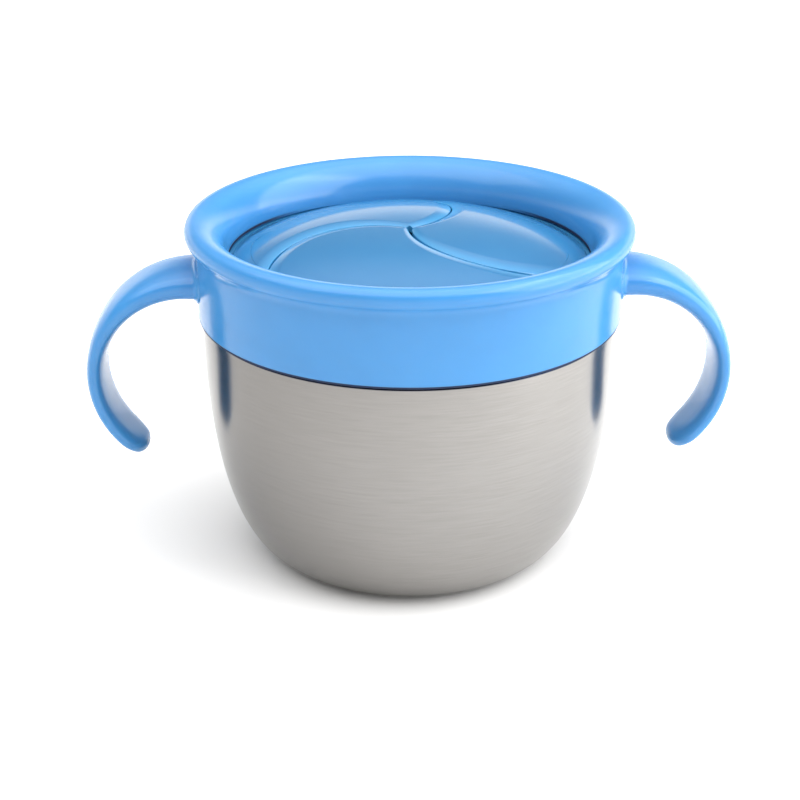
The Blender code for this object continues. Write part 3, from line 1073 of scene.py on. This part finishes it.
@dataclass
class AccessDisc(Piece):
    """Soft domed disc: a springy ring and three flaps parted by a pinwheel of slits."""

    sizes: Sizes = field(default_factory=Sizes)
    finish: SoftElastomer = SoftElastomer()
    radius: float = 37.6 * MM
    edge_z: float = 66.0 * MM
    edge_drop: float = 0.25 * MM
    rise: float = 6.5 * MM
    fullness: float = 2.87
    thickness: float = 1.4 * MM
    edge_round: float = 0.5 * MM
    foot_width: float = 1.6 * MM
    bead_height: float = 0.8 * MM
    bead_top_corner: float = 0.15 * MM
    bead_low_corner: float = 0.1 * MM
    mouth: float = 33.5 * MM
    hinge: float = 28.75 * MM
    hinge_lean: float = 6.5
    seam_circle: float = 40.0 * MM
    mouth_gap: float = 0.02 * MM
    slit: float = 0.16 * MM
    slit_heart: float = 0.55 * MM
    slit_heart_reach: float = 13.0 * MM
    slit_end: float = 0.40 * MM
    slit_end_radius: float = 28.5 * MM
    slit_end_reach: float = 2.8 * MM
    tip: float = 1.0 * MM
    border: float = 3.0 * MM
    border_heart: float = 1.2 * MM
    border_grown: float = 18.0 * MM
    border_drop: float = 0.55 * MM
    underside_follows: float = 0.9
    crease: float = 0.12
    edge: float = 0.22 * MM
    mouth_edge: float = 0.05 * MM
    bend_length: float = 7.0 * MM
    front: float = -98.5
    flap_corner: float = 50.0
    flap_rows: int = 54
    row_crowding: float = 1.25
    fan: int = 44
    seam_columns: tuple[float, ...] = (
        0, 0.03, 0.07, 0.12, 0.22, 0.4, 0.65, 0.95, 1.25, 1.6, 1.95, 2.25, 2.5, 2.75, 2.95, 3.15,
        3.45,
    )
    ring_rows: tuple[float, ...] = (
        0, 0.01, 0.02, 0.04, 0.07, 0.12, 0.2, 0.3, 0.45, 0.6, 0.75, 0.9, 1.0,
    )
    ring_columns: int = 360
    ring_edge_steps: int = 7
    ring_under_rows: int = 7
    least_cosine: float = 0.05
    nearest_outline: float = 20.0 * MM
    halvings: int = 40
    hair: float = 1e-9

    def _dome(self, radius: np.ndarray) -> np.ndarray:
        """Height of the top at r from the middle: edge + rise * (1 - (r / R)^fullness)."""
        return self.edge_z + self.rise * (1 - (radius / self.radius) ** self.fullness)

    def _outline(self, offset: np.ndarray, circle: float) -> np.ndarray:
        """Mouth's edge at an angle off a flap's middle: the circle, or the bend line if nearer."""
        line = self.hinge / np.maximum(np.cos(offset), self.least_cosine)
        return np.minimum(circle, line)

    def _slit_width(self, radius: np.ndarray) -> np.ndarray:
        """Width of a slit, parted more at the heart and near its end.

        It is w + a exp(-(r / p)^2) + b exp(-((r - e) / q)^2).

        Args:
            radius: distances r from the middle.

        Returns:
            Widths.
        """
        heart = self.slit_heart * np.exp(-(radius / self.slit_heart_reach) ** 2)
        from_end = (radius - self.slit_end_radius) / self.slit_end_reach
        return self.slit + heart + self.slit_end * np.exp(-from_end ** 2)

    def _edge_dip(self, distance: np.ndarray, edge: float) -> np.ndarray:
        """Dip at d from a rounded edge: e - sqrt(e^2 - (e - d)^2), within its radius e."""
        inward = np.clip(edge - distance, 0, edge)
        return edge - np.sqrt(edge ** 2 - inward ** 2)

    def _border_share(self, distance: np.ndarray, radius: np.ndarray) -> np.ndarray:
        """How far into the border a point is: 1 - d / w, where w grows from the heart outwards.

        Args:
            distance: from the slit.
            radius: from the middle.

        Returns:
            Shares, 1 at the slit and 0 from the crease inwards.
        """
        grown = smoothstep(0, self.border_grown, radius)
        width = self.border_heart + (self.border - self.border_heart) * grown
        return np.clip(1 - distance / width, 0, 1)

    def _border_dip(self, distance: np.ndarray, radius: np.ndarray) -> np.ndarray:
        """Border that falls to the slit from a crisp crease: a hyperbola of its share t.

        Args:
            distance: from the slit.
            radius: from the middle.

        Returns:
            How far the surface dips.
        """
        t = self._border_share(distance, radius)
        a = self.crease
        full = math.sqrt(1 + a * a) - a
        return self.border_drop * (np.sqrt(t * t + a * a) - a) / full

    def _ring_outside(self) -> np.ndarray:
        """Ring's rounded edge, its snap bead and its foot.

        Returns:
            Rows of (radius, height) from just below the crown to the foot's inner corner.
        """
        crown = self.radius - self.edge_round
        middle = (crown, self._dome(np.array(crown)) - self.edge_round)
        seat = self.sizes.seat_z + self.sizes.gap
        bead = self.sizes.snap_radius - self.sizes.gap
        return np.concatenate([
            arc(middle, self.edge_round, 90, 0, self.ring_edge_steps)[1:],
            [
                (self.radius, self.edge_z - self.edge_drop),
                (bead - self.bead_top_corner, seat + self.bead_height),
                (bead, seat + self.bead_height - self.bead_top_corner),
                (bead, seat + self.bead_low_corner),
                (bead - self.bead_low_corner, seat),
                (self.radius - self.foot_width, seat),
            ],
        ])

    def _ring(self) -> Skin:
        """Springy ring: its section carried round, with its inner end on the mouth's outline.

        Returns:
            The skin.
        """
        angle = np.linspace(0.0, 2 * np.pi, self.ring_columns, endpoint=False)
        third = 2 * np.pi / len(Flap)
        offset = (angle - math.radians(self.front) + third / 2) % third - third / 2
        circle = self.mouth + self.mouth_gap / 2
        inner = self._outline(offset, circle)[None, :]
        crown = self.radius - self.edge_round
        top = inner + (crown - inner) * np.array(self.ring_rows)[:, None]
        round_part = inner >= circle - self.hair
        edge_dip = np.where(round_part, self._edge_dip(top - inner, self.mouth_edge), 0)
        outer = self._ring_outside()
        under_start = self.radius - self.foot_width - self.thickness / 2
        under_share = np.linspace(0, 1, self.ring_under_rows)[:, None]
        under = under_start + (inner - under_start) * under_share
        ones = np.ones_like(inner)
        under_z = self._dome(under) - self.thickness
        rows_r = np.concatenate([top, outer[:, :1] * ones, under])
        rows_z = np.concatenate([self._dome(top) - edge_dip, outer[:, 1:] * ones, under_z])
        grid = np.stack([rows_r * np.cos(angle), rows_r * np.sin(angle), rows_z], axis=-1)
        return Skin(grid, wrap_rows=True, mark=np.zeros(grid.shape[:2]))

    def _columns(self, radius: np.ndarray) -> tuple[np.ndarray, np.ndarray]:
        """A flap's columns, close together along its slits and fanned between them.

        A slit is part of a circle through the middle, so its angle is the arc sine of
        radius over the circle's width, and each column keeps its share between two slits.

        Args:
            radius: distance from the middle, rows by columns.

        Returns:
            Angle from the flap's middle and distance from the nearer slit, rows by columns.
        """
        near = np.array(self.seam_columns) * MM
        lean_end = math.asin(self.mouth / self.seam_circle) - math.radians(self.hinge_lean)
        pitch = np.arcsin(np.clip(radius / self.seam_circle, 0, 1))
        across = radius * np.cos(pitch)
        half = np.pi / len(Flap) - self._slit_width(radius) / 2 / across
        stretch = np.minimum(near[-1], half * across / 2) / near[-1]
        edge = np.concatenate([near, np.full(self.fan, near[-1]), near[::-1]])
        inside = half - edge[None, :] * stretch / across
        spread = np.linspace(1, -1, self.fan + 2)[1:-1]
        side = np.concatenate([np.ones(len(near)), spread, -np.ones(len(near))])
        angle = inside * side[None, :]
        distance = (half - np.abs(angle)) * across
        return pitch - lean_end + angle, distance

    def _reach(self, circle: float) -> np.ndarray:
        """How far each of a flap's columns goes out, found by halving the way to the outline.

        Args:
            circle: radius of the mouth's round part.

        Returns:
            One row of distances from the middle.
        """
        count = 2 * len(self.seam_columns) + self.fan
        low = np.full((1, count), self.nearest_outline)
        high = np.full((1, count), circle)
        for _ in range(self.halvings):
            middle = (low + high) / 2
            outside = middle > self._outline(self._columns(middle)[0], circle)
            high = np.where(outside, middle, high)
            low = np.where(outside, low, middle)
        return high

    def _flap(self, direction: float) -> Skin:
        """One flap, top and underside, with rows from the tip to the mouth's outline.

        Args:
            direction: angle of the flap's middle, in radians.

        Returns:
            The skin.
        """
        circle = self.mouth - self.mouth_gap / 2
        share = np.linspace(0, 1, self.flap_rows + 1)[:, None]
        share = 1 - (1 - share) ** self.row_crowding
        radius = self.tip + (self._reach(circle) - self.tip) * share
        angle, distance = self._columns(radius)
        x, y = radius * np.cos(angle), radius * np.sin(angle)
        border_dip = self._border_dip(distance, radius)
        dip = border_dip + self._edge_dip(distance, self.edge)
        dip = np.maximum(dip, self._edge_dip(circle - radius, self.mouth_edge))
        top = self._dome(radius) - dip
        low = self._dome(radius) - self.thickness - border_dip * self.underside_follows
        cos, sin = math.cos(direction), math.sin(direction)
        place_x, place_y = x * cos - y * sin, x * sin + y * cos
        upper = np.stack([place_x, place_y, top], axis=-1)
        lower = np.stack([place_x, place_y, low], axis=-1)[:, ::-1]
        grid = np.concatenate([upper, lower], axis=1)
        # Share of the painted light by the slits, 1 at the slit, mirrored onto the underside.
        pale_painted_light = smoothstep(0, 1, self._border_share(distance, radius))
        mark = np.concatenate([pale_painted_light, pale_painted_light[:, ::-1]], axis=1)
        return Skin(grid, folded_ends=True, mark=mark, corner=self.flap_corner)

    def build(self) -> None:
        """Puts the ring on the lid, and each flap beside it, with the line it would bend along."""
        material = self.finish.material("blue_elastomer")
        self.put("flap_carrier", self._ring(), material, Slot.ELASTOMER, Body.LID)
        third = 2 * math.pi / len(Flap)
        height = float(self._dome(np.array(self.mouth))) - self.thickness
        lift = Vector((0.0, 0.0, height))
        for flap in Flap:
            name = flap.name.lower()
            direction = math.radians(self.front) + third * flap.value
            ray = Vector((math.cos(direction), math.sin(direction), 0.0))
            start, end = (ray * out + lift for out in (self.hinge, self.hinge - self.bend_length))
            bend = Bend(name + "_flap", start, end)
            skin = self._flap(direction)
            self.put("flap_" + name, skin, material, Slot.ELASTOMER, Body.LID, bend)


# The studio.

@dataclass(frozen=True)
class Softbox:
    """One soft rectangular light that faces the bowl."""

    name: str
    place: Triple
    size: Pair
    watts: float
    aim: Triple = (0.0, 0.0, 0.045)

    def hang(self) -> None:
        """Puts the light in the scene."""
        lamp = bpy.data.lights.new(self.name, "AREA")
        lamp.shape = "RECTANGLE"
        lamp.size, lamp.size_y = self.size
        lamp.energy = self.watts
        made = add_object(self.name, lamp)
        made.location = self.place
        way = Vector(self.aim) - made.location
        made.rotation_euler = way.to_track_quat("-Z", "Z").to_euler()


@dataclass(frozen=True)
class Surround:
    """White world: bright low down, more so to the back and right, dim above, bright overhead.

    Each ease gives where a brightness starts and is full, on a direction's X, Y or Z.
    """

    tint: Colour = (1.0, 0.995, 0.985)
    dim: float = 0.34
    low: float = 0.66
    low_ends: Pair = (0.16, 0.34)
    back: float = 0.35
    back_ease: Pair = (-0.3, 0.5)
    right: float = 0.6
    right_ease: Pair = (0.3, 1.0)
    overhead: float = 1.5
    overhead_ease: Pair = (0.45, 0.9)

    def build(self) -> None:
        """Makes the world and its brightness by direction."""
        world = bpy.data.worlds.new("studio")
        bpy.context.scene.world = world
        graph = Graph(world)
        way = graph.node("ShaderNodeTexCoord").outputs["Generated"]
        split = graph.node("ShaderNodeSeparateXYZ", None, {0: way})
        to_right, to_back, up = (Value(graph, split.outputs[name]) for name in "XYZ")
        band = self.low + self.back * to_back.smooth(*self.back_ease)
        band = band + self.right * to_right.smooth(*self.right_ease)
        bright = self.dim + (1.0 - up.smooth(*self.low_ends)) * band
        bright = bright + self.overhead * up.smooth(*self.overhead_ease)
        surface = graph.tree.nodes["Background"]
        graph.fill(surface.inputs["Color"], (*self.tint, 1.0))
        graph.fill(surface.inputs["Strength"], bright)


@dataclass
class Studio:
    """Pale floor, soft light from above and the right, and the camera."""

    pivot: Vector = field(default_factory=lambda: Vector((0.0, 0.0, 0.0547)))
    distance: float = 0.36738
    elevation: float = 20.722
    azimuth: float = 1.84
    aim: Vector = field(default_factory=lambda: Vector((-0.002050, 0.000057, 0.03249)))
    lens: float = 76.96
    sensor: float = 36.0
    clip_start: float = 0.01
    floor_half: float = 12.0
    floor_finish: PaleFloor = PaleFloor()
    surround: Surround = Surround()
    lights: tuple[Softbox, ...] = (
        Softbox("top_box", (-0.05, -0.12, 0.75), (1.4, 0.8), 4.2),
        Softbox("right_box", (0.56, -0.11, 0.38), (0.75, 0.75), 5.2),
    )

    def camera(self) -> None:
        """Puts the camera on its arc round the pivot and looks at the aim point."""
        lens = bpy.data.cameras.new("camera")
        lens.lens = self.lens
        lens.sensor_width = self.sensor
        lens.clip_start = self.clip_start
        made = add_object("camera", lens)
        rise, turn = math.radians(self.elevation), math.radians(self.azimuth)
        level = math.cos(rise)
        back = Vector((-math.sin(turn) * level, -math.cos(turn) * level, math.sin(rise)))
        made.location = self.pivot + back * self.distance
        made.rotation_euler = (self.aim - made.location).to_track_quat("-Z", "Y").to_euler()
        bpy.context.scene.camera = made

    def floor(self) -> None:
        """Lays a flat pale floor under the bowl."""
        half = self.floor_half
        mesh = bpy.data.meshes.new("floor")
        corners = [(-half, -half, 0), (half, -half, 0), (half, half, 0), (-half, half, 0)]
        mesh.from_pydata(corners, [], [(0, 1, 2, 3)])
        made = add_object("floor", mesh)
        mesh.materials.append(self.floor_finish.material("pale_floor"))

    def build(self) -> None:
        """Sets up the camera, the floor, the white world and the lights."""
        self.camera()
        self.floor()
        self.surround.build()
        for light in self.lights:
            light.hang()
        bpy.context.scene.view_settings.view_transform = "Standard"


def main() -> None:
    """Builds the studio and every piece in order."""
    logging.basicConfig(level=logging.INFO, format="%(name)s: %(message)s")
    Studio().build()
    plastic = GlossPlastic().material("blue_plastic")
    SteelBowl().build()
    LidCollar().build(plastic)
    for side in Side:
        Handle(side).build(plastic)
    SealRing().build()
    AccessDisc().build()


if __name__ == "__main__":
    main()
